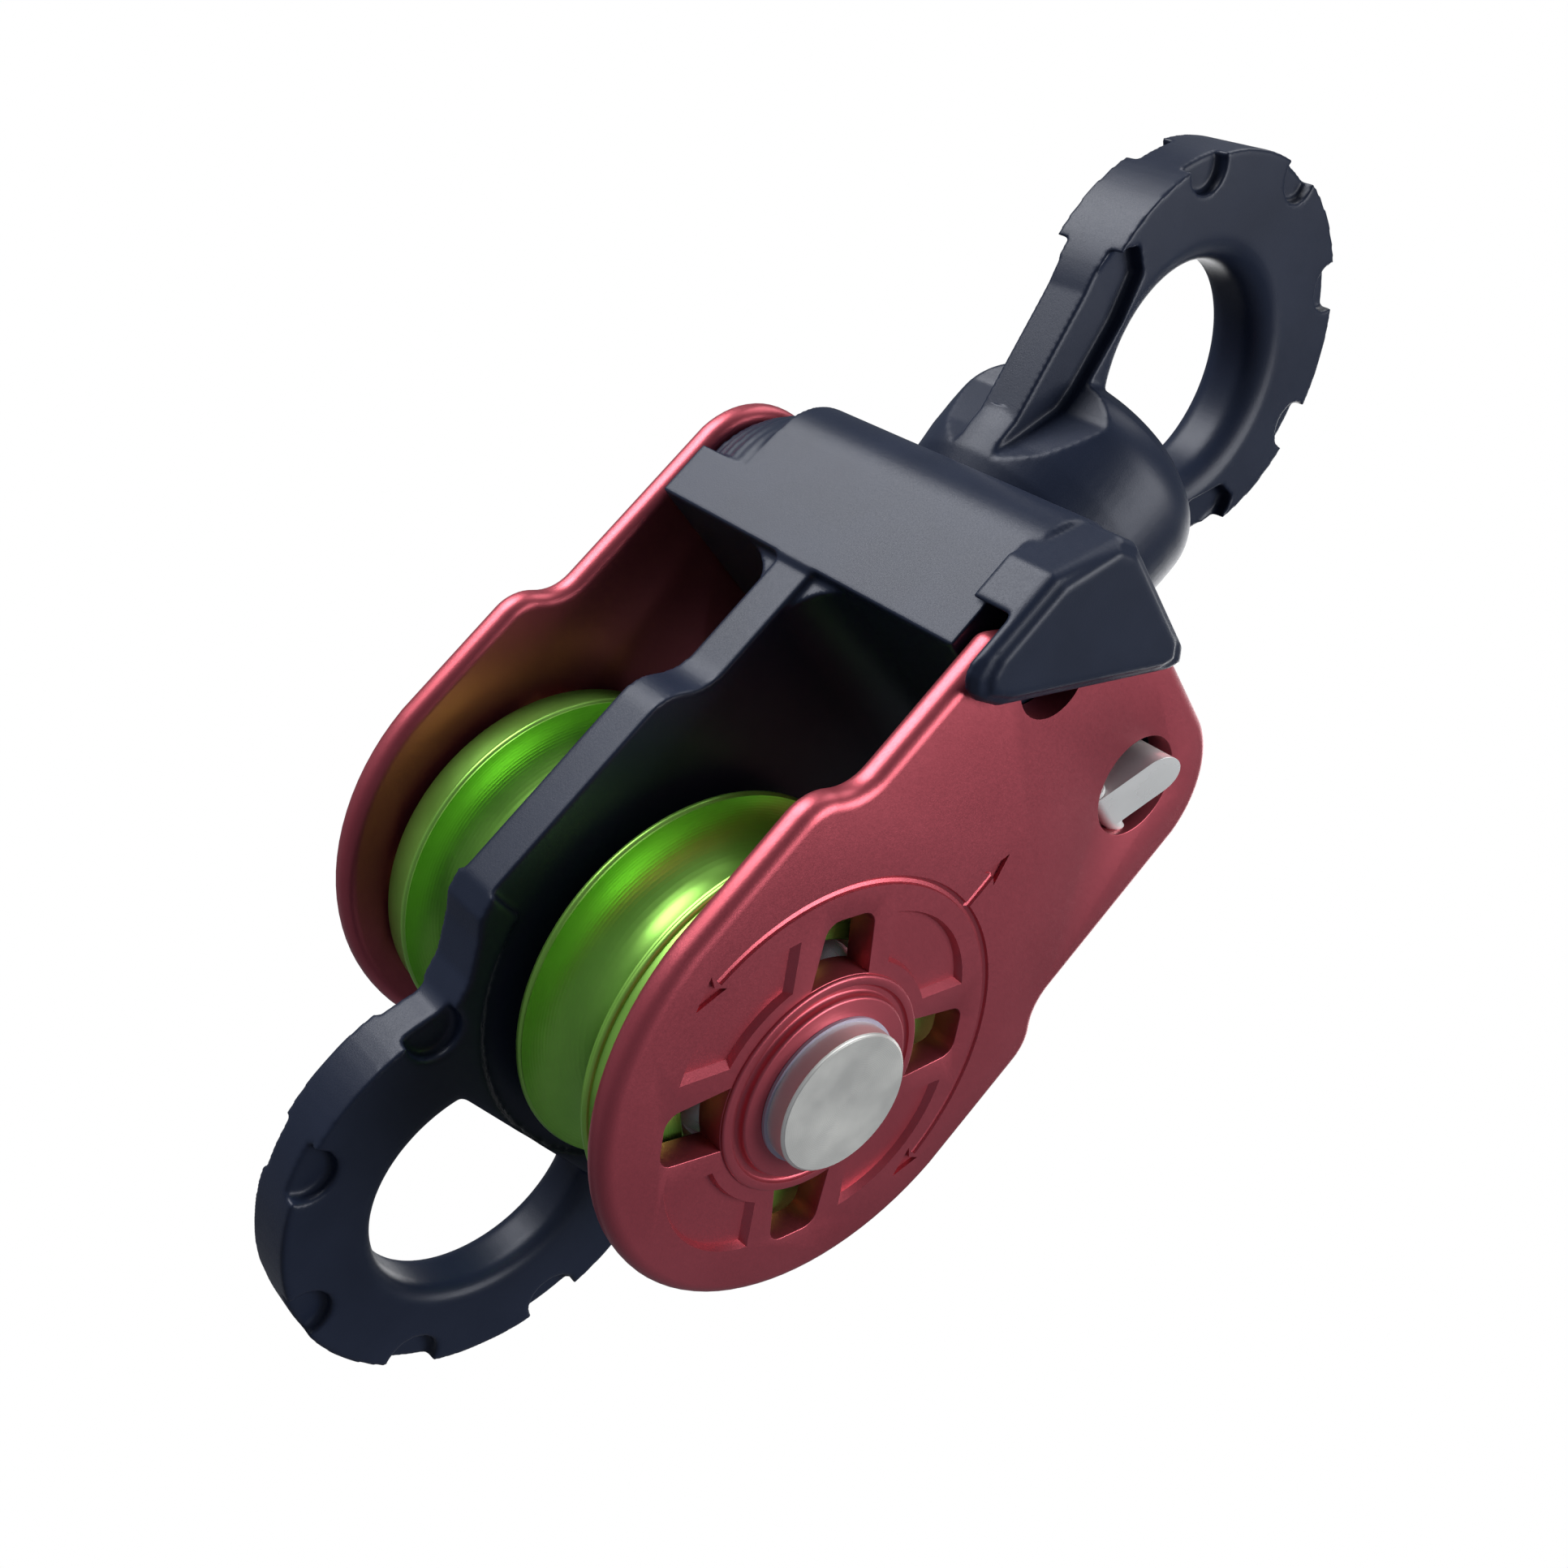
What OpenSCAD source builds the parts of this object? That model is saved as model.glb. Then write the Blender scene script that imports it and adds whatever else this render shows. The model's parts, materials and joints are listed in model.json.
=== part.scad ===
// Double swivel pulley with a becket and two swing-open side plates.
// Origin at the middle of the axle, +X along the axle, +Z up the swivel axis.

/* [Sheaves] */
// Outside radius of a sheave rim
sheave_r = 26; // [25:0.1:26.5]
// Radius at the bottom of the rope groove
tread_r = 19; // [18.5:0.1:19.5]
// Width of a sheave across its rims
sheave_w = 15.1; // [15:0.1:15.4]
// Distance from the middle of the pulley to the middle of a sheave
sheave_x = 14.25; // [14.2:0.05:14.5]

/* [Bearings] */
// Outside radius of a ball bearing
bearing_r = 16; // [15.8:0.1:16.2]
// Width of a ball bearing
bearing_w = 14; // [13.8:0.1:14]
// Number of balls in a bearing
bearing_balls = 7; // [6:1:8]
// Radius of a bearing ball
bearing_ball_r = 2.9; // [2.7:0.1:2.9]

/* [Axle] */
// Radius of the axle
axle_r = 6; // [5.9:0.05:6]
// Radius of the axle's heads
head_r = 9.24; // [9:0.01:9.6]
// Distance from the middle of the pulley to the face of a head
head_x = 36.2; // [35.8:0.1:37]

/* [Side plates] */
// Thickness of a side plate
plate_t = 4; // [4:0.1:4.2]
// Distance from the middle of the pulley to the inner face of a side plate
plate_x = 27.8; // [27.8:0.05:27.9]
// Radius of the plate's round lower end
plate_r = 33; // [32:0.5:34]
// Height of the centre of that round end above the axle
plate_arc_z = 3.5; // [3:0.5:4]
// Half width of the plate above its shoulders
plate_neck = 28; // [27.5:0.5:28]
// Height of the plate's top edge
plate_top = 67.5; // [67:0.5:67.5]

/* [Latch] */
// Radius of the hole that the latch lever sits in
latch_hole_r = 7; // [7:0.1:7.5]
// How far the lever leans out of the plate at rest, in degrees
latch_lean = 18; // [17:0.5:18]
// Width of the lever
latch_w = 6.5; // [6:0.1:6.6]

/* [Centre frame] */
// Half thickness of the web between the sheaves
web_x = 3.15; // [3:0.05:3.2]
// Height of the underside of the head
head_z = 45; // [44.5:0.5:45.5]
// Height of the flat top of the head
head_top = 69.2; // [69:0.1:69.4]
// Half depth of the head
head_y = 28.5; // [28:0.5:29]
// Radius of the becket's round end
becket_r = 28; // [27.5:0.5:28.5]
// Distance from the axle down to the centre of the becket
becket_z = 34.5; // [34:0.5:35]
// Radius of the becket's hole
becket_hole_r = 15.2; // [14.5:0.1:15.5]

/* [Swivel eye] */
// Outside radius of the eye
eye_r = 27.6; // [27:0.1:28]
// Height of the centre of the eye's outline
eye_z = 108.8; // [108.5:0.1:109]
// Half thickness of the eye
eye_x = 5.5; // [5.3:0.1:5.6]
// Radius of the eye's hole
eye_hole_r = 15.5; // [15:0.1:16]
// Height of the centre of the eye's hole
eye_hole_z = 104.8; // [104.5:0.1:105]
// Largest radius of the bell below the eye
hub_r = 18.9; // [18.5:0.1:19]
// Depth of the recess in each arm
channel_depth = 2.2; // [1.8:0.1:2.4]

/* [Hidden] */
$fn = 96;

// Running clearance of a pivot, clearance of a loose part, and overshoot of a cut
fit = 0.05;
slack = 0.1;
past = 1;

// Bearing: race surfaces, ball pitch and groove
race_in = 9.3;
race_out = 13.1;
ball_pitch = (axle_r + bearing_r) / 2 + 0.2;
ball_groove = bearing_ball_r + slack;
bearing_x0 = sheave_x - bearing_w / 2;
bearing_x1 = sheave_x + bearing_w / 2;
shield_t = 0.65;

// Sheave: groove radius, wall that the bearing rests on
groove_r = 6.3;
shoulder_r = 14.6;
rim_round = 0.55;
cheek_r = 25.2;
cheek_out = 12.4;
cheek_in_r = 22.5;
cheek_in = 9.6;
snap_r = [14.4, 16.8];
snap_t = 1;

// Axle: spacer radius, stub that screws into the cap
spacer_r = 8.6;
head_t = 2.8;
head_chamfer = 0.35;
stub_r = 4;
stub_x = 24;
stub_end = 34.4;

// Side plate
plate_out = plate_x + plate_t;
boss_r = 13.3;
boss_x = plate_out + 1.15;
bushing_r = 7.5;
washer_t = 0.4;
washer_r = 9.7;
shoulder_z = 19;
neck_z = 29;
crown_r = 13;
crown_z = 54.5;
lip_line = 76.3;
notch = [-16.2, 52];
notch_r = 5.5;
notch_half = 5.2;
window_in = 14.7;
window_out = 22.7;
window_half = 4.35;
window_tip = 3.7;
window_round = 2;

// Latch: centre of its hole, pivot, lever
latch_at = [12.3, 54.2];
pivot_x = 29.8;
pivot_z = 49.9;
pin_r = 1;
pin_half = 7.2;
lever_r = 1.5;
lever_len = 9.9;
spring_r = [1.02, 1.35];
spring_len = 0.75;
relief_r = 7.6;
relief_depth = 2.8;

// Centre frame
head_x_end = 27.4;
head_corner = 9.5;
head_fillet = 7;
ease_r = 14.5;
ease_in = 2.6;
ease_len = 9;
ease_steps = 5;
ease_box = [14, 16];
lip_x0 = 32.3;
lip_x1 = 34.8;
lip_front = 30.3;
ceiling_line = 80.7;
lip_edge_line = 66;
lip_bevel = 1.6;
web_side = 32.5;
web_foot = -8;
neck_y = 25.2;
becket_x = 4;
well_r = 28.5;
becket_hole_z = 36.2;
becket_flat = -28.6;
scallop_r = 3.5;
scallop_in = 0.9;
scallop_depth = 1.8;
scallop_back = 0.7;
becket_round = 2.4;
eye_round = 4;

// Swivel
post_r = 9;
shank_r = 7.5;
shank_z = 48;
post_top = 88;
swivel_z = 80;
swivel_pitch = 9.1;
swivel_ball_r = 2.3;
swivel_groove = 2.4;
swivel_count = 10;
cavity_r = 9.4;
cavity_top = 89;
sleeve_r = 10.6;
sleeve_z = [70, 76];
seal_r = [14, 16.5];
hub_z = 69.7;
lock_r = 1.5;
lock_z = 56;
lock_y = [-6, 27.9];
port_r = 2.5;
port_x = [11.7, 18.3];

// Bore of parts threaded on the axle
function bore() = axle_r + fit;

// Points of an arc about c with radius r from angle a to angle b
function arc(c, r, a, b, n = 12) =
    [for (i = [0 : n]) c + r * [cos(a + (b - a) * i / n), sin(a + (b - a) * i / n)]];

// The plate's shoulder on the right: two equal arcs that step the side in
function shoulder(wide, narrow, z0, z1) =
    let (d = wide - narrow, h = z1 - z0, r = (d * d + h * h) / (4 * d), a = asin(h / 2 / r))
    concat(arc([wide - r, z0], r, 0, a, 6), rest(arc([narrow + r, z1], r, 180 + a, 180, 6)));

function rest(points) = [for (i = [1 : len(points) - 1]) points[i]];

function flip(points) = [for (i = [len(points) - 1 : -1 : 0]) [-points[i][0], points[i][1]]];

// An outline in (y, z), extruded from x0 to x1
module slab(x0, x1) {
    translate([x0, 0, 0]) rotate([90, 0, 90]) linear_extrude(x1 - x0) children();
}

// A profile in (radius, x), turned about the axle
module turned() {
    rotate([0, 90, 0]) rotate_extrude() children();
}

module tube_x(r_out, r_in, x0, x1) {
    turned() translate([r_in, x0]) square([r_out - r_in, x1 - x0]);
}

// The left half is the right half turned half way round the swivel axis
module left() {
    rotate([0, 0, 180]) children();
}

module plate_outline() {
    crown_end = asin((plate_top - crown_z) / crown_r);
    difference() {
        union() {
            translate([0, plate_arc_z]) circle(plate_r);
            polygon(concat(
                shoulder(plate_r, plate_neck, shoulder_z, neck_z),
                arc([plate_neck - crown_r, crown_z], crown_r, 0, crown_end),
                [[plate_top - lip_line, plate_top], [-plate_neck, lip_line - plate_neck]],
                flip(shoulder(plate_r, plate_neck, shoulder_z, neck_z)),
                [[-plate_r, plate_arc_z], [plate_r, plate_arc_z]]));
        }
        notch_slot();
        translate(latch_at) circle(latch_hole_r);
    }
}

// Round notch in the hidden edge, open towards that edge
module notch_slot() {
    translate(notch) circle(notch_r);
    translate(notch) rotate(45) translate([-notch_half, 0]) square([2 * notch_half, 3 * notch_r]);
}

module window() {
    tip = window_out - window_round;
    difference() {
        union() {
            polygon([[window_in - past, -window_half], [tip, -window_tip],
                     [tip, window_tip], [window_in - past, window_half]]);
            for (s = [-1, 1])
                translate([tip, s * (window_tip - window_round)]) circle(window_round);
            translate([tip, -window_tip + window_round])
                square([window_round, 2 * (window_tip - window_round)]);
        }
        circle(window_in);
    }
}

module side_plate() {
    color([0.66, 0.22, 0.28]) difference() {
        union() {
            slab(plate_x, plate_out) plate_outline();
            tube_x(boss_r, 0, plate_x, boss_x);
        }
        slab(plate_x - past, boss_x + past) circle(bushing_r);
        slab(plate_x - past, boss_x + past) for (a = [45 : 90 : 315]) rotate(a) window();
        latch_pin_hole();
    }
}

module latch_pin_hole() {
    translate([pivot_x, latch_at[0] - pin_half, pivot_z]) rotate([-90, 0, 0])
        cylinder(r = pin_r, h = 2 * pin_half);
}

module plate_bushing() {
    color([0.45, 0.38, 0.22]) tube_x(bushing_r, bore(), plate_x, boss_x);
}

module latch_pin() {
    color([0.75, 0.76, 0.78]) latch_pin_hole();
}

// Torsion spring: a small coil on the pin at each side of the lever
module latch_spring() {
    color([0.6, 0.62, 0.65]) for (s = [-1, 1])
        translate([pivot_x, latch_at[0] + s * (latch_w / 2 + slack + spring_len / 2), pivot_z])
            rotate([90, 0, 0]) difference() {
                cylinder(r = spring_r[1], h = spring_len, center = true);
                cylinder(r = spring_r[0], h = spring_len + past, center = true);
            }
}

// Lever: a round-ended tongue with an upright back and a front that leans out
module latch() {
    front = lever_r / cos(latch_lean) + lever_len * tan(latch_lean);
    color([0.82, 0.83, 0.84]) translate([pivot_x, latch_at[0], pivot_z]) difference() {
        union() {
            intersection() {
                slab(-lever_r, front + past) {
                    translate([-latch_w / 2, -lever_r])
                        square([latch_w, lever_len + lever_r - latch_w / 2]);
                    translate([0, lever_len - latch_w / 2]) circle(latch_w / 2);
                }
                rotate([90, 0, 0]) linear_extrude(2 * latch_w, center = true)
                    polygon([[-lever_r, 0], [-lever_r, lever_len + past],
                             [front + past * tan(latch_lean), lever_len + past],
                             lever_r * [cos(latch_lean), -sin(latch_lean)]]);
            }
            rotate([90, 0, 0]) cylinder(r = lever_r, h = latch_w, center = true);
        }
        rotate([90, 0, 0]) cylinder(r = pin_r + fit, h = latch_w + past, center = true);
    }
}

module sheave() {
    half = sheave_w / 2;
    color([0.45, 0.72, 0.22]) turned() translate([0, sheave_x]) difference() {
        union() {
            polygon([[shoulder_r, -cheek_in], [cheek_in_r, -cheek_in], [sheave_r - rim_round, -half],
                     [sheave_r - rim_round, half], [cheek_r, cheek_out], [shoulder_r, cheek_out]]);
            for (s = [-1, 1]) translate([sheave_r - rim_round, s * (half - rim_round)])
                circle(rim_round);
        }
        translate([tread_r + groove_r, 0]) circle(groove_r);
        translate([shoulder_r - past, -bearing_w / 2])
            square([bearing_r - shoulder_r + past, cheek_out + bearing_w / 2 + past]);
        translate([bearing_r - past, bearing_w / 2]) square([snap_r[1] - bearing_r + past, snap_t]);
    }
}

// Ring that holds the bearing in its sheave
module snap_ring() {
    color([0.7, 0.71, 0.72]) tube_x(snap_r[1], snap_r[0], bearing_x1, bearing_x1 + snap_t);
}

module bearing_outer() {
    color([0.78, 0.79, 0.8]) turned() difference() {
        translate([race_out, bearing_x0]) square([bearing_r - race_out, bearing_w]);
        translate([ball_pitch, sheave_x]) circle(ball_groove);
    }
}

module bearing_inner() {
    color([0.78, 0.79, 0.8]) turned() difference() {
        translate([bore(), bearing_x0]) square([race_in - bore(), bearing_w]);
        translate([ball_pitch, sheave_x]) circle(ball_groove);
    }
}

module bearing_shields() {
    color([0.3, 0.32, 0.35]) for (x = [bearing_x0 + slack, bearing_x1 - slack - shield_t])
        tube_x(race_out, race_in + 3 * slack, x, x + shield_t);
}

module bearing_ring_of_balls() {
    color([0.85, 0.86, 0.87]) for (i = [0 : bearing_balls - 1])
        rotate([360 / bearing_balls * i, 0, 0]) translate([sheave_x, ball_pitch, 0])
            sphere(bearing_ball_r);
}

module spacer_inner() {
    color([0.7, 0.71, 0.72]) tube_x(spacer_r, bore(), web_x, bearing_x0);
}

module spacer_outer() {
    color([0.7, 0.71, 0.72]) tube_x(spacer_r, bore(), bearing_x1, plate_x - slack);
}

module axle_washer() {
    color([0.6, 0.58, 0.75]) tube_x(washer_r, bore(), head_x - head_t - washer_t, head_x - head_t);
}

// Head of the axle, chamfered at its face
module axle_head() {
    turned() polygon([[0, head_x - head_t], [head_r, head_x - head_t],
                      [head_r, head_x - head_chamfer], [head_r - head_chamfer, head_x], [0, head_x]]);
}

module axle_bolt() {
    color([0.8, 0.8, 0.78]) {
        axle_head();
        tube_x(axle_r, 0, -stub_x, head_x - head_t);
        tube_x(stub_r, 0, -stub_end, -stub_x);
    }
}

module axle_cap() {
    color([0.8, 0.8, 0.78]) left() difference() {
        union() {
            axle_head();
            tube_x(axle_r, 0, stub_x, head_x - head_t);
        }
        tube_x(stub_r + fit, 0, stub_x - past, stub_end + slack);
    }
}

module web_outline() {
    union() {
        polygon(concat(
            shoulder(web_side, plate_neck, shoulder_z, neck_z),
            [[plate_neck, head_z + past], [-plate_neck, head_z + past]],
            flip(shoulder(web_side, plate_neck, shoulder_z, neck_z)),
            [[-web_side, web_foot], [-web_side + 1, web_foot - 3], [-web_side + 3, web_foot - 5],
             [-neck_y - 1.2, -17.2], [-neck_y, -20.8], [-neck_y, -becket_z], [neck_y, -becket_z],
             [neck_y, -20.8], [neck_y + 1.2, -17.2], [web_side - 3, web_foot - 5],
             [web_side - 1, web_foot - 3], [web_side, web_foot]]));
        translate([0, -becket_z]) circle(becket_r);
    }
}

// A round hole through the frame or the eye, with its edges rounded by r
module eased_hole(hole_r, half, r) {
    rotate([0, 90, 0]) rotate_extrude() difference() {
        translate([0, -half - past]) square([hole_r + r, 2 * (half + past)]);
        translate([hole_r, r - half]) square([r + past, 2 * (half - r)]);
        for (s = [-1, 1]) translate([hole_r + r, s * (half - r)]) circle(r);
    }
}

// Pockets along a round rim of radius r, cut into both faces; back is their depth at -X
module scallops(r, half, back) {
    for (a = [-22.5 : 45 : 202.5]) rotate([a, 0, 0]) translate([0, r - scallop_in, 0])
        rotate([0, 90, 0]) {
            translate([0, 0, half - scallop_depth]) cylinder(r = scallop_r, h = scallop_depth + past);
            translate([0, 0, -half - past]) cylinder(r = scallop_r, h = back + past);
        }
}

module head_profile() {
    translate([-head_y, head_z]) square([2 * head_y, head_top - head_z - head_corner]);
    translate([-head_y + head_corner, head_z])
        square([2 * (head_y - head_corner), head_top - head_z]);
    for (s = [-1, 1])
        translate([s * (head_y - head_corner), head_top - head_corner]) circle(head_corner);
}

// The lip outside a plate: near plate's side, reaching down over its top corner
module lip_profile(grow = 0) {
    top = 68.2 - grow;
    front = -lip_front + grow;
    low = 41.5 + grow;
    line = lip_edge_line + grow * sqrt(2);
    polygon([[front, 57], [front, low + 3], [front + 0.7, low + 1], [front + 2.3, low],
             [-25.8, low + 0.3], [low + 1.9 - line, low + 1.9], [top - 3 - line, top - 3],
             [top - 3.2 - line + 1.2, top - 1.2], [top - 3.2 - line - 0.6, top],
             [-22.5, top], [-25.2, top - 1.4]]);
}

module lip() {
    slab(lip_x0, lip_x1 - lip_bevel) lip_profile();
    slab(lip_x1 - lip_bevel, lip_x1 - lip_bevel / 2) lip_profile(lip_bevel / 3);
    slab(lip_x1 - lip_bevel / 2, lip_x1) lip_profile(lip_bevel);
    // Bridge above the plate's slanted edge
    slab(head_x_end - past, lip_x0) intersection() {
        lip_profile();
        polygon([[-lip_front - past, ceiling_line - lip_front - past], [-8, ceiling_line - 8],
                 [-lip_front - past, ceiling_line - 8]]);
    }
}

// Fillet between the web and the underside of the head
module head_fillets() {
    for (s = [-1, 1]) rotate([90, 0, 0]) linear_extrude(2 * plate_neck - 2, center = true)
        difference() {
            translate([s > 0 ? web_x - past : -web_x - head_fillet, head_z - head_fillet])
                square([head_fillet + past, head_fillet + past]);
            translate([s * (web_x + head_fillet), head_z - head_fillet]) circle(head_fillet);
            translate([s > 0 ? web_x + head_fillet : -web_x - head_fillet - past, head_z - 2 * head_fillet])
                square([past, 4 * head_fillet]);
        }
}

// The head, with the end beside each catch stepping down in to the plate's crown
module head_block() {
    difference() {
        slab(-head_x_end, head_x_end) head_profile();
        for (m = [0, 180], i = [0 : ease_steps - 1])
            rotate([0, 0, m]) slab(head_x_end - ease_len * (i + 1) / ease_steps, head_x_end + past)
                difference() {
                    translate([head_y, head_top] - ease_box) square(ease_box + [past, past]);
                    translate([head_y - ease_r - ease(i), head_top - ease_r - ease(i) / 2])
                        circle(ease_r);
                }
    }
}

// How far the eased end lies inside the head's profile at step i
function ease(i) = ease_in * pow(1 - (i + 0.5) / ease_steps, 2);

module center_frame() {
    color([0.15, 0.17, 0.2]) difference() {
        union() {
            head_block();
            head_fillets();
            slab(-web_x, web_x) web_outline();
            slab(-becket_x, becket_x) difference() {
                web_outline();
                circle(well_r);
                translate([-web_side - past, web_foot]) square([2 * (web_side + past), 80]);
            }
            lip();
            left() lip();
        }
        slab(-becket_x - past, becket_x + past) circle(axle_r);
        translate([0, 0, -becket_hole_z]) intersection() {
            eased_hole(becket_hole_r, becket_x, becket_round);
            translate([-20, -20, -25]) cube([40, 40, 25 + becket_hole_z + becket_flat]);
        }
        translate([0, 0, -becket_z]) rotate([180, 0, 0]) scallops(becket_r, becket_x, scallop_back);
        translate([0, 0, shank_z]) cylinder(r = shank_r, h = head_top - shank_z + past);
        lock_hole();
        latch_relief();
        left() latch_relief();
    }
}

// Room in the head's end for the lever when it is pressed
module latch_relief() {
    slab(head_x_end - relief_depth, head_x_end + past) translate(latch_at) circle(relief_r);
}

module lock_hole() {
    translate([0, lock_y[0], lock_z]) rotate([-90, 0, 0]) cylinder(r = lock_r, h = head_y - lock_y[0] + past);
}

module post_lock_pin() {
    color([0.72, 0.73, 0.75]) translate([0, lock_y[0], lock_z]) rotate([-90, 0, 0])
        cylinder(r = lock_r, h = lock_y[1] - lock_y[0]);
}

module swivel_post() {
    color([0.72, 0.73, 0.75]) difference() {
        union() {
            translate([0, 0, shank_z]) cylinder(r = shank_r, h = head_top - shank_z);
            translate([0, 0, head_top]) cylinder(r = post_r, h = post_top - head_top);
        }
        translate([0, 0, swivel_z]) rotate_extrude() translate([swivel_pitch, 0]) circle(swivel_groove);
        lock_hole();
    }
}

module swivel_seal() {
    color([0.1, 0.1, 0.1]) translate([0, 0, head_top]) difference() {
        cylinder(r = seal_r[1], h = hub_z - head_top - slack);
        translate([0, 0, -past]) cylinder(r = seal_r[0], h = 2 * past + slack);
    }
}

module swivel_balls() {
    color([0.85, 0.86, 0.87]) for (i = [0 : swivel_count - 1])
        rotate([0, 0, 360 / swivel_count * (i + 0.5)]) translate([swivel_pitch, 0, swivel_z])
            sphere(swivel_ball_r);
}

module swivel_sleeve() {
    color([0.92, 0.92, 0.88]) translate([0, 0, sleeve_z[0]]) difference() {
        cylinder(r = sleeve_r, h = sleeve_z[1] - sleeve_z[0]);
        translate([0, 0, -past]) cylinder(r = post_r + fit, h = sleeve_z[1] - sleeve_z[0] + 2 * past);
    }
}

module port_plug() {
    color([0.3, 0.32, 0.35]) rotate([0, -90, 0]) translate([swivel_z, 0, port_x[0]])
        cylinder(r = port_r, h = port_x[1] - port_x[0]);
}

// Bell of the eye: straight skirt, full belly, rounded shoulder
module hub_profile() {
    polygon(concat([[0, hub_z], [17.2, hub_z], [18.3, 73], [hub_r - 0.15, 77], [hub_r, 81]],
                   arc([hub_r - 8, 83.5], 8, 0, 45, 6), [[13.6, 91.3], [8.3, 93], [0, 93.8]]));
}

// One arm's recess in a face of the eye, running down over the bell
module arm_channel() {
    polygon([[-26.2, 102.6], [-24.8, 104.6], [-21, 103.6], [-18, 97.9], [-15, 88.5], [-14.4, 85],
             [-16.6, 77], [-18.2, 72.6], [-19.2, 75], [-19.8, 80], [-22.6, 88.5], [-25.4, 96]]);
}

module swivel_eye() {
    channel_x = eye_x - channel_depth;
    color([0.15, 0.17, 0.2]) difference() {
        union() {
            difference() {
                slab(-eye_x, eye_x) {
                    translate([0, eye_z]) circle(eye_r);
                    polygon([[-27.1, eye_z - 5], [-22.7, 91], [-20, 83], [-17, 74],
                             [17, 74], [20, 83], [22.7, 91], [27.1, eye_z - 5]]);
                }
                translate([0, 0, eye_hole_z]) eased_hole(eye_hole_r, eye_x, eye_round);
            }
            rotate_extrude() hub_profile();
        }
        for (s = [-1, 1], m = [0, 1]) mirror([0, m, 0])
            slab(s > 0 ? channel_x : -20, s > 0 ? 20 : -channel_x) arm_channel();
        translate([0, 0, eye_z]) scallops(eye_r, eye_x, scallop_depth);
        translate([0, 0, hub_z - past]) cylinder(r = cavity_r, h = cavity_top - hub_z + past);
        translate([0, 0, hub_z - past]) cylinder(r = sleeve_r, h = sleeve_z[1] - hub_z + past);
        translate([0, 0, swivel_z]) rotate_extrude() translate([swivel_pitch, 0]) circle(swivel_groove);
        rotate([0, -90, 0]) translate([swivel_z, 0, 0]) cylinder(r = port_r, h = hub_r + past);
    }
}

center_frame();
axle_bolt();
axle_cap();
swivel_post();
post_lock_pin();
swivel_seal();
bearing_inner();  // bearing_inner_right
left() bearing_inner();  // bearing_inner_left
spacer_inner();  // spacer_inner_right
left() spacer_inner();  // spacer_inner_left
spacer_outer();  // spacer_outer_right
left() spacer_outer();  // spacer_outer_left
axle_washer();  // axle_washer_right
left() axle_washer();  // axle_washer_left
swivel_eye();
swivel_sleeve();
port_plug();
swivel_balls();
sheave();  // sheave_right
left() sheave();  // sheave_left
bearing_outer();  // bearing_outer_right
left() bearing_outer();  // bearing_outer_left
bearing_shields();  // bearing_shields_right
left() bearing_shields();  // bearing_shields_left
bearing_ring_of_balls();  // bearing_balls_right
left() bearing_ring_of_balls();  // bearing_balls_left
snap_ring();  // snap_ring_right
left() snap_ring();  // snap_ring_left
side_plate();  // side_plate_right
left() side_plate();  // side_plate_left
plate_bushing();  // plate_bushing_right
left() plate_bushing();  // plate_bushing_left
latch_pin();  // latch_pin_right
left() latch_pin();  // latch_pin_left
latch_spring();  // latch_spring_right
left() latch_spring();  // latch_spring_left
latch();  // latch_right
left() latch();  // latch_left
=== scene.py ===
import json
import math

import bmesh
import bpy
from mathutils import Matrix, Vector


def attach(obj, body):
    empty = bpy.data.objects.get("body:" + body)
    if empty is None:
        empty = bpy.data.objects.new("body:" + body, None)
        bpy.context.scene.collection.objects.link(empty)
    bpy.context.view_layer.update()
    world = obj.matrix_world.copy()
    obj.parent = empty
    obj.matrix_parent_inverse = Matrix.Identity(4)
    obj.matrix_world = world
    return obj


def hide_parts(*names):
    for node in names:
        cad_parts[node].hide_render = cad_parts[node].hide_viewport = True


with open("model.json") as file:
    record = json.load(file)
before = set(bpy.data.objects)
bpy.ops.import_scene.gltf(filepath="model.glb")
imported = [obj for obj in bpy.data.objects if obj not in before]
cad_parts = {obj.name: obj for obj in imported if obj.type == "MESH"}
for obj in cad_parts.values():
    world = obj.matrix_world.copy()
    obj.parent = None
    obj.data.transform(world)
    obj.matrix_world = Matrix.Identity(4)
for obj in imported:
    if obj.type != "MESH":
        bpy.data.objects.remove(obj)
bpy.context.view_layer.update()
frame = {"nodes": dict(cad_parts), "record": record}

nodes = frame["nodes"]
mm = 0.001
near = 0.01  # millimetres: closer than this is the same place
mergeGap = 0.00001
sharpEdge = 35  # degrees between the faces of an edge that may be bevelled
past = 2  # millimetres that a cutter stands out of what it goes through
noiseLow, noiseHigh = 0.3, 0.7  # the part of a noise that a finish spreads over



def deselectAll():
    if bpy.context.mode != "OBJECT":
        bpy.ops.object.mode_set(mode="OBJECT")
    bpy.ops.object.select_all(action="DESELECT")


def take(piece):
    deselectAll()
    piece.select_set(True)
    bpy.context.view_layer.objects.active = piece


def edit(piece, mode="VERT"):
    take(piece)
    bpy.ops.object.mode_set(mode="EDIT")
    bpy.ops.mesh.select_mode(type=mode)


def pickEdges(piece, test):
    # selects in edit mode each edge whose two ends pass the test, in millimetres
    edit(piece, "EDGE")
    bpy.ops.mesh.select_all(action="DESELECT")
    mesh = bmesh.from_edit_mesh(piece.data)
    found = 0
    for edge in mesh.edges:
        a, b = [v.co / mm for v in edge.verts]
        sharp = len(edge.link_faces) == 2 and edge.calc_face_angle(0) > math.radians(sharpEdge)
        if sharp and test(a, b):
            edge.select = True
            found += 1
    bmesh.update_edit_mesh(piece.data)
    return found


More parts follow.
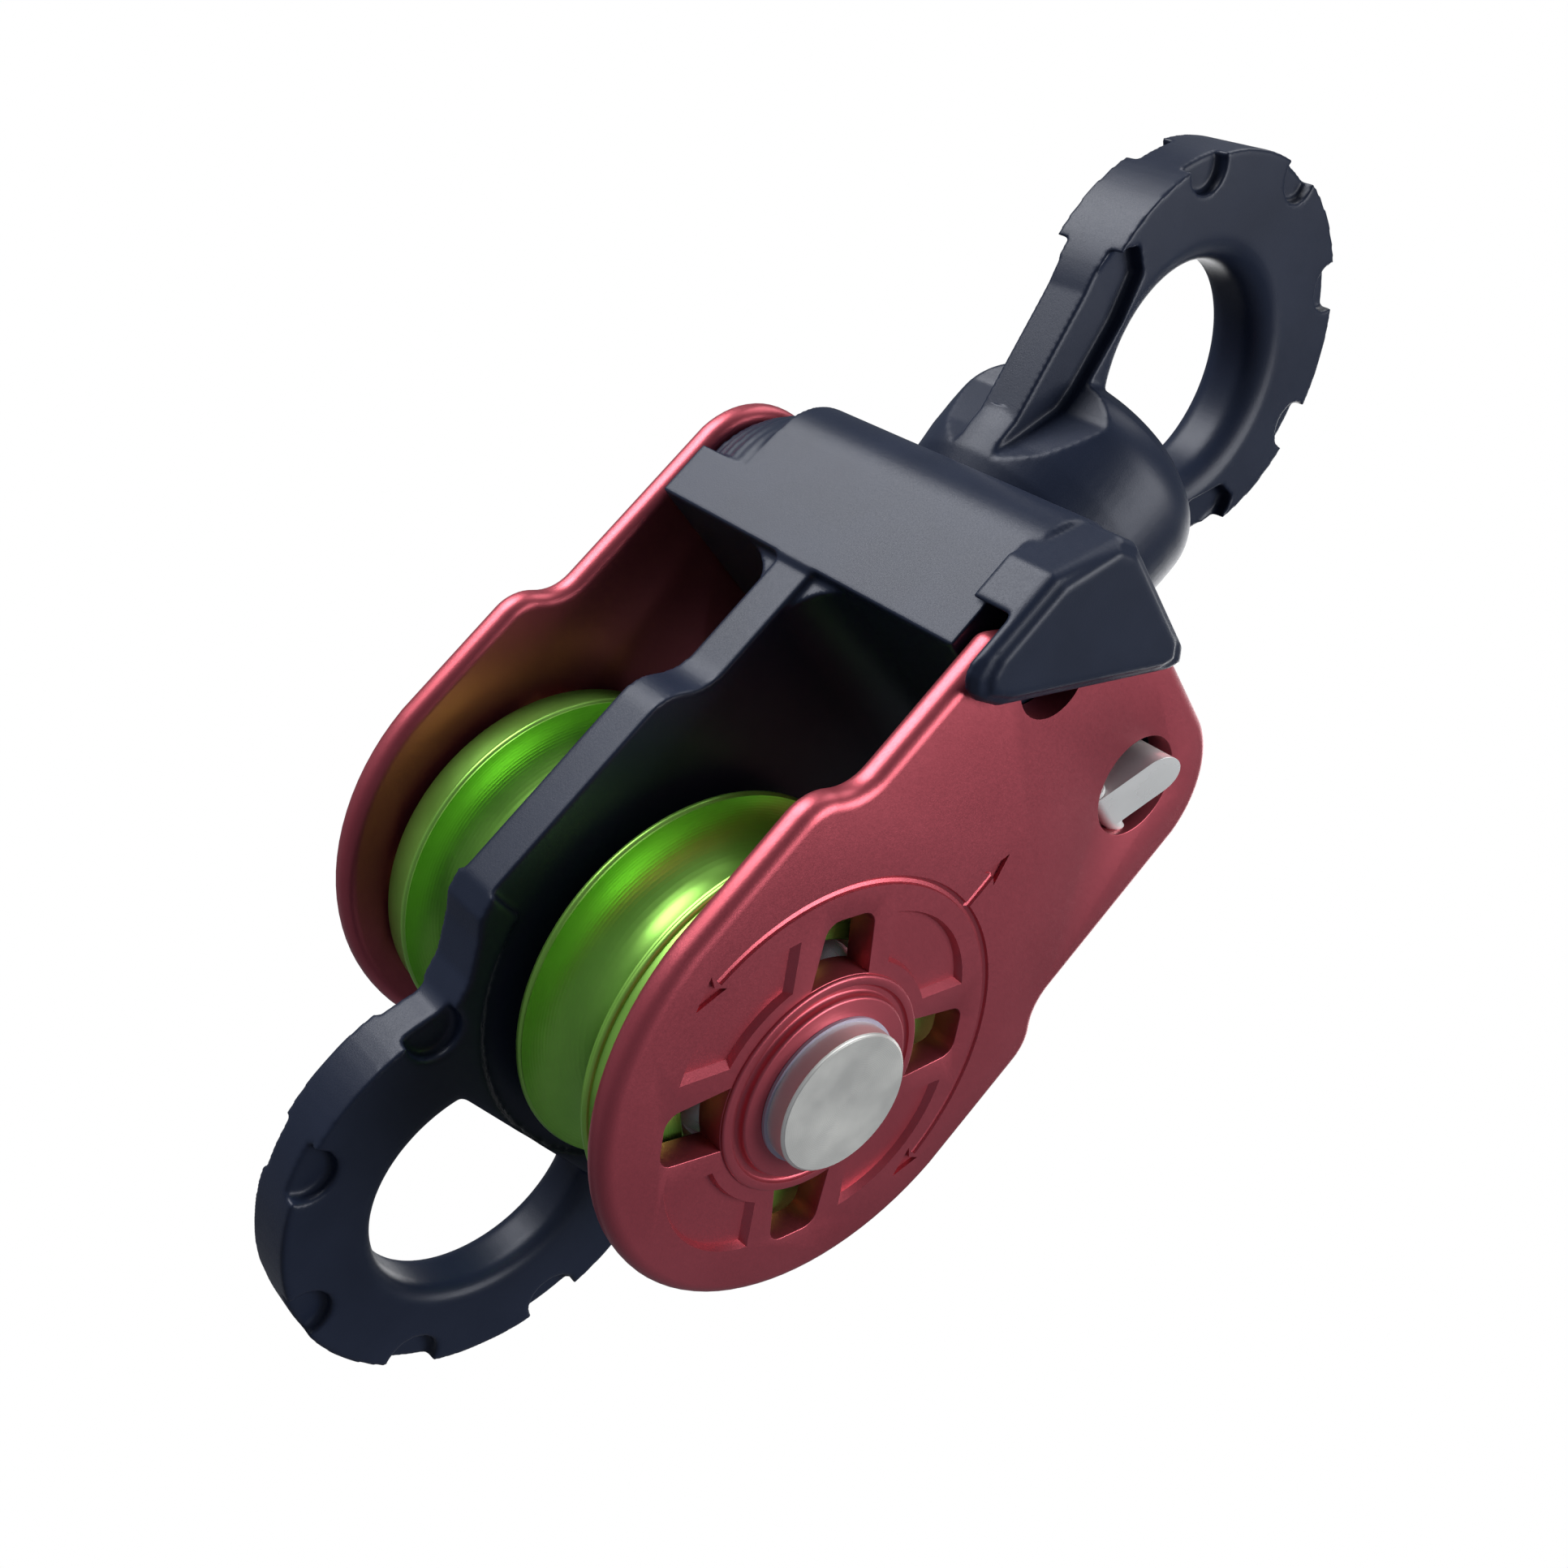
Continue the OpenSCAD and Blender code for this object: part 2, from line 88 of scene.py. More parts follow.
def bevelPicked(width, segments):
    bpy.ops.mesh.bevel(offset=width * mm, segments=segments, profile=0.5, affect="EDGES",
                       clamp_overlap=True)
    bpy.ops.object.mode_set(mode="OBJECT")


def applyModifier(piece, kind, **settings):
    take(piece)
    modifier = piece.modifiers.new(kind.title(), kind)
    for key, value in settings.items():
        setattr(modifier, key, value)
    bpy.ops.object.modifier_apply(modifier=modifier.name)


def fixNormals(piece):
    edit(piece)
    bpy.ops.mesh.select_all(action="SELECT")
    bpy.ops.mesh.remove_doubles(threshold=mergeGap)
    bpy.ops.mesh.normals_make_consistent(inside=False)
    bpy.ops.object.mode_set(mode="OBJECT")


def smooth(piece, degrees):
    take(piece)
    bpy.ops.object.shade_smooth_by_angle(angle=math.radians(degrees))


def cut(piece, cutters):
    for cutter in cutters:
        applyModifier(piece, "BOOLEAN", operation="DIFFERENCE", object=cutter, solver="EXACT")
        bpy.data.objects.remove(cutter, do_unlink=True)


def copyTurned(piece, name):
    # the left half of the pulley is the right half turned half way round the swivel axis
    take(piece)
    bpy.ops.object.duplicate()
    twin = bpy.context.active_object
    twin.name = name
    twin.data.name = name
    twin.data.transform(Matrix.Rotation(math.pi, 4, "Z"))
    return twin



def arc(centre, radius, start, end, steps):
    points = []
    for i in range(steps + 1):
        a = math.radians(start + (end - start) * i / steps)
        points.append((centre[0] + radius * math.cos(a), centre[1] + radius * math.sin(a)))
    return points


def onPlate(x):
    return lambda u, v: Vector((x, u, v)) * mm


def onRadius(r, x):
    # radius and place along the axle, in the plane through the axle
    return Vector((x, r, 0)) * mm


def draw(name, points, place, closed=True):
    deselectAll()
    bpy.ops.mesh.primitive_plane_add(size=0.001)
    piece = bpy.context.active_object
    piece.name = name
    piece.data.name = name
    bpy.ops.object.mode_set(mode="EDIT")
    bpy.ops.mesh.select_mode(type="VERT")
    bpy.ops.mesh.select_all(action="SELECT")
    bpy.ops.mesh.merge(type="CENTER")
    here = place(*points[0])
    bpy.ops.transform.translate(value=here)
    for point in points[1:]:
        there = place(*point)
        bpy.ops.mesh.extrude_region_move(TRANSFORM_OT_translate={"value": there - here})
        here = there
    bpy.ops.mesh.select_all(action="SELECT")
    if closed:
        bpy.ops.mesh.edge_face_add()
    return piece


def drawSlab(name, points, x0, x1):
    piece = draw(name, points, onPlate(x0))
    bpy.ops.mesh.extrude_region_move(TRANSFORM_OT_translate={"value": ((x1 - x0) * mm, 0, 0)})
    bpy.ops.object.mode_set(mode="OBJECT")
    fixNormals(piece)
    return piece


def turn(name, profile, steps):
    piece = draw(name, profile + [profile[0]], onRadius, closed=False)
    bpy.ops.mesh.spin(steps=steps, angle=math.radians(360), center=(0, 0, 0), axis=(1, 0, 0))
    bpy.ops.object.mode_set(mode="OBJECT")
    fixNormals(piece)
    return piece



def newMaterial(name):
    material = bpy.data.materials.new(name)
    material.use_nodes = True
    tree = material.node_tree
    shader = next(n for n in tree.nodes if n.type == "BSDF_PRINCIPLED")
    return material, tree, shader


def link(tree, a, b):
    tree.links.new(a, b)


def objectNoise(tree, scale, detail=4, roughness=0.55):
    coordinates = tree.nodes.new("ShaderNodeTexCoord")
    noise = tree.nodes.new("ShaderNodeTexNoise")
    noise.inputs["Scale"].default_value = scale
    noise.inputs["Detail"].default_value = detail
    noise.inputs["Roughness"].default_value = roughness
    link(tree, coordinates.outputs["Object"], noise.inputs["Vector"])
    return noise


def ramp(tree, source, low, high):
    node = tree.nodes.new("ShaderNodeValToRGB")
    node.color_ramp.elements[0].position = noiseLow
    node.color_ramp.elements[0].color = low
    node.color_ramp.elements[1].position = noiseHigh
    node.color_ramp.elements[1].color = high
    link(tree, source, node.inputs["Fac"])
    return node


def spread(tree, source, low, high):
    node = tree.nodes.new("ShaderNodeMapRange")
    node.inputs["From Min"].default_value = noiseLow
    node.inputs["From Max"].default_value = noiseHigh
    node.inputs["To Min"].default_value = low
    node.inputs["To Max"].default_value = high
    link(tree, source, node.inputs["Value"])
    return node


def anodised(name, look):
    # dyed aluminium: cloudy colour, blasted grain, uneven sheen
    material, tree, shader = newMaterial(name)
    cloud = objectNoise(tree, look["cloudScale"], 3)
    colour = ramp(tree, cloud.outputs["Fac"], look["dark"], look["light"])
    link(tree, colour.outputs["Color"], shader.inputs["Base Color"])
    grain = objectNoise(tree, look["grainScale"], 3, 0.7)
    rough = spread(tree, grain.outputs["Fac"], look["roughLow"], look["roughHigh"])
    link(tree, rough.outputs["Result"], shader.inputs["Roughness"])
    bump = tree.nodes.new("ShaderNodeBump")
    bump.inputs["Strength"].default_value = look["bump"]
    bump.inputs["Distance"].default_value = 0.00004
    link(tree, grain.outputs["Fac"], bump.inputs["Height"])
    link(tree, bump.outputs["Normal"], shader.inputs["Normal"])
    shader.inputs["Metallic"].default_value = look["metallic"]
    shader.inputs["Specular IOR Level"].default_value = look.get("specular", 0.5)
    shader.inputs["Coat Weight"].default_value = look["coat"]
    shader.inputs["Coat Roughness"].default_value = look["coatRough"]
    return material


def turnedMetal(name, look):
    # fine rings about the axle, as a lathe leaves them
    material, tree, shader = newMaterial(name)
    coordinates = tree.nodes.new("ShaderNodeTexCoord")
    wave = tree.nodes.new("ShaderNodeTexWave")
    wave.wave_type = "RINGS"
    wave.rings_direction = "X"
    wave.inputs["Scale"].default_value = look["ringScale"]
    wave.inputs["Distortion"].default_value = look["distortion"]
    wave.inputs["Detail"].default_value = 3
    wave.inputs["Detail Scale"].default_value = 2
    link(tree, coordinates.outputs["Object"], wave.inputs["Vector"])
    smudge = objectNoise(tree, look["smudgeScale"], 4)
    colour = ramp(tree, smudge.outputs["Fac"], look["dark"], look["light"])
    link(tree, colour.outputs["Color"], shader.inputs["Base Color"])
    rough = spread(tree, smudge.outputs["Fac"], look["roughLow"], look["roughHigh"])
    link(tree, rough.outputs["Result"], shader.inputs["Roughness"])
    bump = tree.nodes.new("ShaderNodeBump")
    bump.inputs["Strength"].default_value = look["bump"]
    bump.inputs["Distance"].default_value = 0.00003
    link(tree, wave.outputs["Fac"], bump.inputs["Height"])
    link(tree, bump.outputs["Normal"], shader.inputs["Normal"])
    shader.inputs["Metallic"].default_value = look["metallic"]
    return material


finishes = {
    "redAnodised": anodised("redAnodised", dict(
        dark=(0.44, 0.075, 0.1, 1), light=(0.5, 0.09, 0.118, 1), cloudScale=60, grainScale=4200,
        roughLow=0.34, roughHigh=0.46, bump=0.35, metallic=0.8, coat=0.15, coatRough=0.3)),
    "blackAnodised": anodised("blackAnodised", dict(
        dark=(0.009, 0.014, 0.031, 1), light=(0.014, 0.02, 0.041, 1), cloudScale=70,
        grainScale=4600, roughLow=0.34, roughHigh=0.46, bump=0.4, metallic=0.1, coat=0.05,
        coatRough=0.3, specular=0.24)),
    "greenAnodised": turnedMetal("greenAnodised", dict(
        dark=(0.25, 0.56, 0.085, 1), light=(0.33, 0.66, 0.12, 1), smudgeScale=90, ringScale=900,
        distortion=0.6, roughLow=0.3, roughHigh=0.42, bump=0.25, metallic=0.7)),
    "turnedSteel": turnedMetal("turnedSteel", dict(
        dark=(0.68, 0.68, 0.65, 1), light=(0.78, 0.78, 0.74, 1), smudgeScale=140, ringScale=1500,
        distortion=1.2, roughLow=0.34, roughHigh=0.48, bump=0.3, metallic=0.6)),
    "bearingSteel": turnedMetal("bearingSteel", dict(
        dark=(0.6, 0.61, 0.6, 1), light=(0.72, 0.73, 0.72, 1), smudgeScale=120, ringScale=1800,
        distortion=0.3, roughLow=0.18, roughHigh=0.3, bump=0.15, metallic=1.0)),
    "polishedSteel": turnedMetal("polishedSteel", dict(
        dark=(0.84, 0.85, 0.84, 1), light=(0.9, 0.91, 0.9, 1), smudgeScale=160, ringScale=300,
        distortion=6, roughLow=0.24, roughHigh=0.36, bump=0.06, metallic=0.3)),
    "lavenderWasher": anodised("lavenderWasher", dict(
        dark=(0.45, 0.41, 0.52, 1), light=(0.52, 0.47, 0.58, 1), cloudScale=200, grainScale=5000,
        roughLow=0.35, roughHigh=0.5, bump=0.2, metallic=0.3, coat=0.0, coatRough=0.3)),
    "bushingBronze": anodised("bushingBronze", dict(
        dark=(0.32, 0.22, 0.1, 1), light=(0.42, 0.3, 0.14, 1), cloudScale=400, grainScale=5000,
        roughLow=0.4, roughHigh=0.6, bump=0.4, metallic=0.9, coat=0.0, coatRough=0.3)),
    "nylon": anodised("nylon", dict(
        dark=(0.7, 0.69, 0.62, 1), light=(0.78, 0.77, 0.7, 1), cloudScale=150, grainScale=3000,
        roughLow=0.45, roughHigh=0.6, bump=0.1, metallic=0.0, coat=0.0, coatRough=0.3)),
    "sealRubber": anodised("sealRubber", dict(
        dark=(0.012, 0.012, 0.013, 1), light=(0.02, 0.02, 0.022, 1), cloudScale=150,
        grainScale=3500, roughLow=0.6, roughHigh=0.8, bump=0.2, metallic=0.0, coat=0.0,
        coatRough=0.3)),
}
slotFinish = {
    "black_anodised": "blackAnodised", "red_anodised": "redAnodised",
    "green_anodised": "greenAnodised", "turned_steel": "turnedSteel",
    "polished_steel": "polishedSteel", "bearing_steel": "bearingSteel",
    "lavender_washer": "lavenderWasher", "bushing_bronze": "bushingBronze",
    "nylon": "nylon", "seal_rubber": "sealRubber",
}


def paint(piece, slotName):
    piece.data.materials.clear()
    piece.data.materials.append(finishes[slotFinish[slotName]])


for part in frame["record"]["subparts"]:
    paint(nodes[part["node"]], part["material_slot"])
print("materials ready")


def fit(piece, body, slotName, *replaced):
    # finish, body and the CAD nodes that the piece stands for
    paint(piece, slotName)
    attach(piece, body)
    if replaced:
        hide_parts(*replaced)


plateSize = dict(
    inner=27.8, outer=31.8, low=33.0, lowCentre=3.5, neck=28.0, shoulder=19.0, neckStart=29.0,
    crownRadius=13.0, crownCentre=54.5, top=67.5, slant=76.3, slantCorner=2.0,
    edgeRound=1.75, edgeSegments=7,
    windowIn=14.7, windowOut=22.7, windowHalf=4.35, windowTip=3.7, windowRound=2.0,
    latchHole=(12.3, 54.2, 7.0), notch=(-16.2, 52.0, 5.5), bushing=7.5,
    pocketIn=16.4, pocketInHalf=19.0, pocketOutCentre=6.5, pocketOut=17.1, pocketOutHalf=36.0,
    pocketMiddle=20.0, pocketDeep=0.9, pocketDraft=0.11,
    signRadius=26.7, signTop=34.2, signWidth=0.58, arrowLength=4.0, arrowHalf=1.6, arrowDeep=0.55,
    rimRound=0.3, rimSegments=3,
)


def shoulderPoints(wide, narrow, z0, z1):
    drop = wide - narrow
    rise = z1 - z0
    radius = (drop * drop + rise * rise) / (4 * drop)
    angle = math.degrees(math.asin(rise / 2 / radius))
    return (arc((wide - radius, z0), radius, 0, angle, 8)
            + arc((narrow + radius, z1), radius, 180 + angle, 180, 8)[1:])


def plateOutline(s):
    right = shoulderPoints(s["low"], s["neck"], s["shoulder"], s["neckStart"])
    left = [(-y, z) for y, z in reversed(right)]
    crown = arc((s["neck"] - s["crownRadius"], s["crownCentre"]), s["crownRadius"], 0, 90, 16)
    r = s["slantCorner"]
    # rounded corners where the slanted edge meets the top and the side
    topY = s["top"] - s["slant"]
    topCorner = arc((topY + r * math.tan(math.radians(22.5)), s["top"] - r), r, 90, 135, 4)
    sideZ = s["slant"] - s["neck"]
    sideCorner = arc((-s["neck"] + r, sideZ - r * math.tan(math.radians(22.5))), r, 135, 180, 4)
    low = arc((0, s["lowCentre"]), s["low"], 180, 360, 48)
    return right + crown[1:] + topCorner + sideCorner + left + low[1:-1]


def turned(points, turnBy):
    c, d = math.cos(math.radians(turnBy)), math.sin(math.radians(turnBy))
    return [(c * u - d * v, d * u + c * v) for u, v in points]


def windowOutline(s, turnBy):
    tip = s["windowOut"] - s["windowRound"]
    side = s["windowTip"] - s["windowRound"]
    halfAngle = math.degrees(math.asin(s["windowHalf"] / s["windowIn"]))
    points = arc((0, 0), s["windowIn"], halfAngle, -halfAngle, 8)
    points += arc((tip, -side), s["windowRound"], 270, 360, 5)
    points += arc((tip, side), s["windowRound"], 0, 90, 5)
    return turned(points, turnBy)


def pocketCutter(s, turnBy):
    # a shallow sector between two windows, its walls sloping in to a flat floor
    inner = arc((0, 0), s["pocketIn"], -s["pocketInHalf"], s["pocketInHalf"], 10)
    outer = arc((s["pocketOutCentre"], 0), s["pocketOut"], s["pocketOutHalf"],
                -s["pocketOutHalf"], 14)
    cutter = drawSlab("pocketCutter", turned(inner + outer, turnBy),
                      s["outer"] - s["pocketDeep"], s["outer"] + s["pocketDeep"])
    middle = turned([(s["pocketMiddle"], 0)], turnBy)[0]
    for vertex in cutter.data.vertices:
        x, y, z = vertex.co / mm
        scale = 1 + s["pocketDraft"] * (1 if x > s["outer"] else -1)
        vertex.co.y = (middle[0] + (y - middle[0]) * scale) * mm
        vertex.co.z = (middle[1] + (z - middle[1]) * scale) * mm
    return cutter


def grooveCutter(name, points, s):
    # a round-nosed cutter along a path on the plate's face
    tube = draw(name, points, onPlate(s["outer"] + 0.05), closed=False)
    bpy.ops.object.mode_set(mode="OBJECT")
    take(tube)
    bpy.ops.object.convert(target="CURVE")
    tube = bpy.context.active_object
    tube.data.bevel_depth = s["signWidth"] * mm
    tube.data.bevel_resolution = 2
    tube.data.use_fill_caps = True
    bpy.ops.object.convert(target="MESH")
    return bpy.context.active_object


def arrowCutter(name, tip, heading, s):
    # a small arrowhead sunk into the face
    back, half = -s["arrowLength"], s["arrowHalf"]
    flat = turned([(0, 0), (back, half), (back * 0.8, 0), (back, -half)], heading)
    points = [(tip[0] + u, tip[1] + v) for u, v in flat]
    return drawSlab(name, points, s["outer"] - s["arrowDeep"], s["outer"] + 1)


def makeSidePlate(s):
    plate = drawSlab("plate_right", plateOutline(s), s["inner"], s["outer"])
    pickEdges(plate, lambda a, b: abs(a.x - b.x) < near)
    bevelPicked(s["edgeRound"], s["edgeSegments"])
    through = (s["inner"] - past, s["outer"] + past)
    openings = [drawSlab("windowCutter", windowOutline(s, a), *through) for a in (45, 135, 225, 315)]
    for y, z, r in (s["latchHole"], s["notch"]):
        openings.append(drawSlab("holeCutter", arc((y, z), r, 0, 352.5, 47), *through))
    openings.append(drawSlab("boreCutter", arc((0, 0), s["bushing"], 0, 352.5, 47), *through))
    cut(plate, openings)
    y, z, r = s["latchHole"]

    def rim(a, b):
        faces = abs(a.x - b.x) < near and (a.x > s["outer"] - near or a.x < s["inner"] + near)
        middle = (a + b) / 2
        fromAxle = math.hypot(middle.y, middle.z)
        window = s["windowIn"] - 0.3 < fromAxle < s["windowOut"] + 0.3
        return faces and (window or math.hypot(middle.y - y, middle.z - z) < r + 0.2)

    pickEdges(plate, rim)
    bevelPicked(s["rimRound"], s["rimSegments"])
    details = [pocketCutter(s, a) for a in (0, 90, 180, 270)]
    radius = s["signRadius"]
    details.append(grooveCutter("signArcCutter", arc((0, 0), radius, 2, 178, 48), s))
    details.append(grooveCutter("signStemCutter", [(0, radius + 0.1), (0, s["signTop"] - 2)], s))
    details.append(arrowCutter("signTopCutter", (0, s["signTop"] + 1), 90, s))
    details.append(arrowCutter("signFrontCutter", (-radius + 0.3, -3.0), 274, s))
    details.append(arrowCutter("signBackCutter", (radius - 0.3, -3.0), 266, s))
    cut(plate, details)
    fixNormals(plate)
    smooth(plate, 30)
    return plate


bossSize = dict(base=31.5, step=32.25, top=32.95, outer=14.6, groove=12.7, dish=10.2, bore=7.5,
                stepRound=0.35, topRound=0.42)


def makeBoss(s):
    profile = [(s["bore"], s["base"]), (s["outer"], s["base"]), (s["outer"], s["step"] - s["stepRound"])]
    profile += arc((s["outer"] - s["stepRound"], s["step"] - s["stepRound"]), s["stepRound"], 0, 90, 4)[1:]
    profile += [(s["groove"] + 0.75, s["step"])]
    profile += arc((s["groove"] + 0.1, s["step"] + 0.1), 0.62, -10, -170, 8)
    profile += arc((s["groove"] - 0.95, s["top"] - s["topRound"]), s["topRound"], 0, 80, 4)
    profile += [(s["dish"], s["top"] - 0.12), (s["dish"] - 0.3, s["top"]), (s["bore"], s["top"])]
    boss = turn("plate_boss_right", profile, 128)
    smooth(boss, 40)
    return boss


sidePlate = makeSidePlate(plateSize)
boss = makeBoss(bossSize)
otherPlate = copyTurned(sidePlate, "plate_left")
otherBoss = copyTurned(boss, "plate_boss_left")
fit(sidePlate, "plate_right", "red_anodised", "side_plate_right")
fit(otherPlate, "plate_left", "red_anodised", "side_plate_left")
fit(boss, "plate_right", "red_anodised")
fit(otherBoss, "plate_left", "red_anodised")
print("side plates ready")

sheaveSize = dict(middle=14.25, half=7.55, rim=26.0, tread=19.0, groove=6.3, bore=16.0,
                  shoulder=14.6, bearing=7.0, rimRound=0.55, cheek=25.2, cheekOut=12.4,
                  cheekInside=22.5, cheekIn=9.6, snapOut=16.8, snapWidth=1.0,
                  seatEdge=0.3, cheekEdge=0.4)


def makeSheave(s):
    # inner cheek, rim, rope groove, rim, outer cheek, then the bearing's seat
    r0 = s["rimRound"]
    lipIn = s["rim"] - r0
    snapEnd = s["bearing"] + s["snapWidth"]
    seat = s["seatEdge"]
    edge = s["cheekEdge"]
    profile = [(s["shoulder"], -s["cheekIn"] + seat), (s["shoulder"] + seat, -s["cheekIn"])]
    profile += [(s["cheekInside"] - edge, -s["cheekIn"]),
                (s["cheekInside"] + edge / 2, -s["cheekIn"] + edge / 2)]
    profile += arc((lipIn, -s["half"] + r0), r0, -90, 60, 6)
    profile += arc((s["tread"] + s["groove"], 0), s["groove"], -86, -274, 32)
    profile += arc((lipIn, s["half"] - r0), r0, -60, 90, 6)
    profile += [(s["cheek"], s["cheekOut"] - edge), (s["cheek"] - edge, s["cheekOut"])]
    profile += [(s["bore"] + edge, s["cheekOut"]), (s["bore"], s["cheekOut"] - edge)]
    profile += [(s["bore"], snapEnd), (s["snapOut"], snapEnd), (s["snapOut"], s["bearing"]),
                (s["bore"], s["bearing"]), (s["bore"], -s["bearing"]),
                (s["shoulder"], -s["bearing"])]
    sheave = turn("sheave_wheel_right", [(r, s["middle"] + x) for r, x in profile], 128)
    smooth(sheave, 40)
    return sheave


sheaveWheel = makeSheave(sheaveSize)
otherSheave = copyTurned(sheaveWheel, "sheave_wheel_left")
fit(sheaveWheel, "sheave_right", "green_anodised", "sheave_right")
fit(otherSheave, "sheave_left", "green_anodised", "sheave_left")
print("sheaves ready")

forging = dict(voxel=0.00038, fineVoxel=0.00034, passes=5, factor=0.5, keep=0.42,
               quickVoxel=0.0008, weld=0.000002)


def softened(node, name, voxel):
    # a merged copy of the forged shape, remeshed so that its edges can be eased
    take(nodes[node])
    bpy.ops.object.duplicate()
    piece = bpy.context.active_object
    for key in list(piece.keys()):
        del piece[key]
    piece.parent = None
    piece.name = name
    piece.data.name = name
    edit(piece)
    bpy.ops.mesh.select_all(action="SELECT")
    bpy.ops.mesh.remove_doubles(threshold=forging["weld"])
    bpy.ops.object.mode_set(mode="OBJECT")
    applyModifier(piece, "REMESH", mode="VOXEL", voxel_size=voxel, adaptivity=0.0)
    applyModifier(piece, "SMOOTH", factor=forging["factor"], iterations=forging["passes"])
    applyModifier(piece, "DECIMATE", ratio=forging["keep"])
    take(piece)
    bpy.ops.object.shade_smooth()
    return piece


frameBody = softened("center_frame", "forged_frame", forging["voxel"])
eyeBody = softened("swivel_eye", "forged_eye", forging["fineVoxel"])
fit(frameBody, "frame", "black_anodised", "center_frame")
fit(eyeBody, "eye", "black_anodised", "swivel_eye")
print("frame and eye ready", len(frameBody.data.polygons), len(eyeBody.data.polygons))

leverSize = dict(pivot=(29.8, 12.3, 49.9), foot=1.5, lean=18.0, width=6.5, length=9.9,
                 ease=0.6, heel=1.1, bore=1.05)


def makeLever(s):
    # a round-ended tongue with an upright back and a front that leans out
    px, py, pz = s["pivot"]
    half = s["width"] / 2
    points = [(py - half, pz - s["foot"]), (py + half, pz - s["foot"])]
    points += arc((py, pz + s["length"] - half), half, 0, 180, 24)
    back = px - s["foot"]
    lever = drawSlab("lever_right", points, back, back + s["length"])
    lean = math.radians(s["lean"])
    out = Vector((math.cos(lean), 0, -math.sin(lean)))
    onFront = Vector(s["pivot"]) + out * s["foot"]
    edit(lever)
    bpy.ops.mesh.select_all(action="SELECT")
    bpy.ops.mesh.bisect(plane_co=onFront * mm, plane_no=out, use_fill=True, clear_outer=True)
    bpy.ops.object.mode_set(mode="OBJECT")
    fixNormals(lever)
    heel = pz - s["foot"] + near
    pickEdges(lever, lambda a, b: a.z < heel and b.z < heel and abs(a.x - b.x) < near)
    bevelPicked(s["heel"], 5)
    pickEdges(lever, lambda a, b: all(abs((c - onFront).dot(out)) < near for c in (a, b)))
    bevelPicked(s["ease"], 4)
    deselectAll()
    bpy.ops.mesh.primitive_cylinder_add(vertices=32, radius=s["bore"] * mm, depth=2 * s["width"] * mm,
                                        location=Vector(s["pivot"]) * mm,
                                        rotation=(math.radians(90), 0, 0))
    cut(lever, [bpy.context.active_object])
    fixNormals(lever)
    smooth(lever, 40)
    return lever


lever = makeLever(leverSize)
otherLever = copyTurned(lever, "lever_left")
fit(lever, "lever_right", "polished_steel", "latch_right")
fit(otherLever, "lever_left", "polished_steel", "latch_left")
print("levers ready")

studio = dict(floor=-0.105, floorSize=30.0, floorColour=(0.1, 0.105, 0.12, 1),
              skyColour=(0.8, 0.88, 1.0, 1), sky=0.15, aim=(0, 0, 0.03))


def whiteToCamera(tree, dim, white, outputType):
    # plain white to the eye, dimmer as a source of light
    white.inputs["Color"].default_value = (1, 1, 1, 1)
    path = tree.nodes.new("ShaderNodeLightPath")
    mix = tree.nodes.new("ShaderNodeMixShader")
    output = next(n for n in tree.nodes if n.type == outputType)
    link(tree, path.outputs["Is Camera Ray"], mix.inputs["Fac"])
    link(tree, dim.outputs[0], mix.inputs[1])
    link(tree, white.outputs[0], mix.inputs[2])
    link(tree, mix.outputs[0], output.inputs["Surface"])


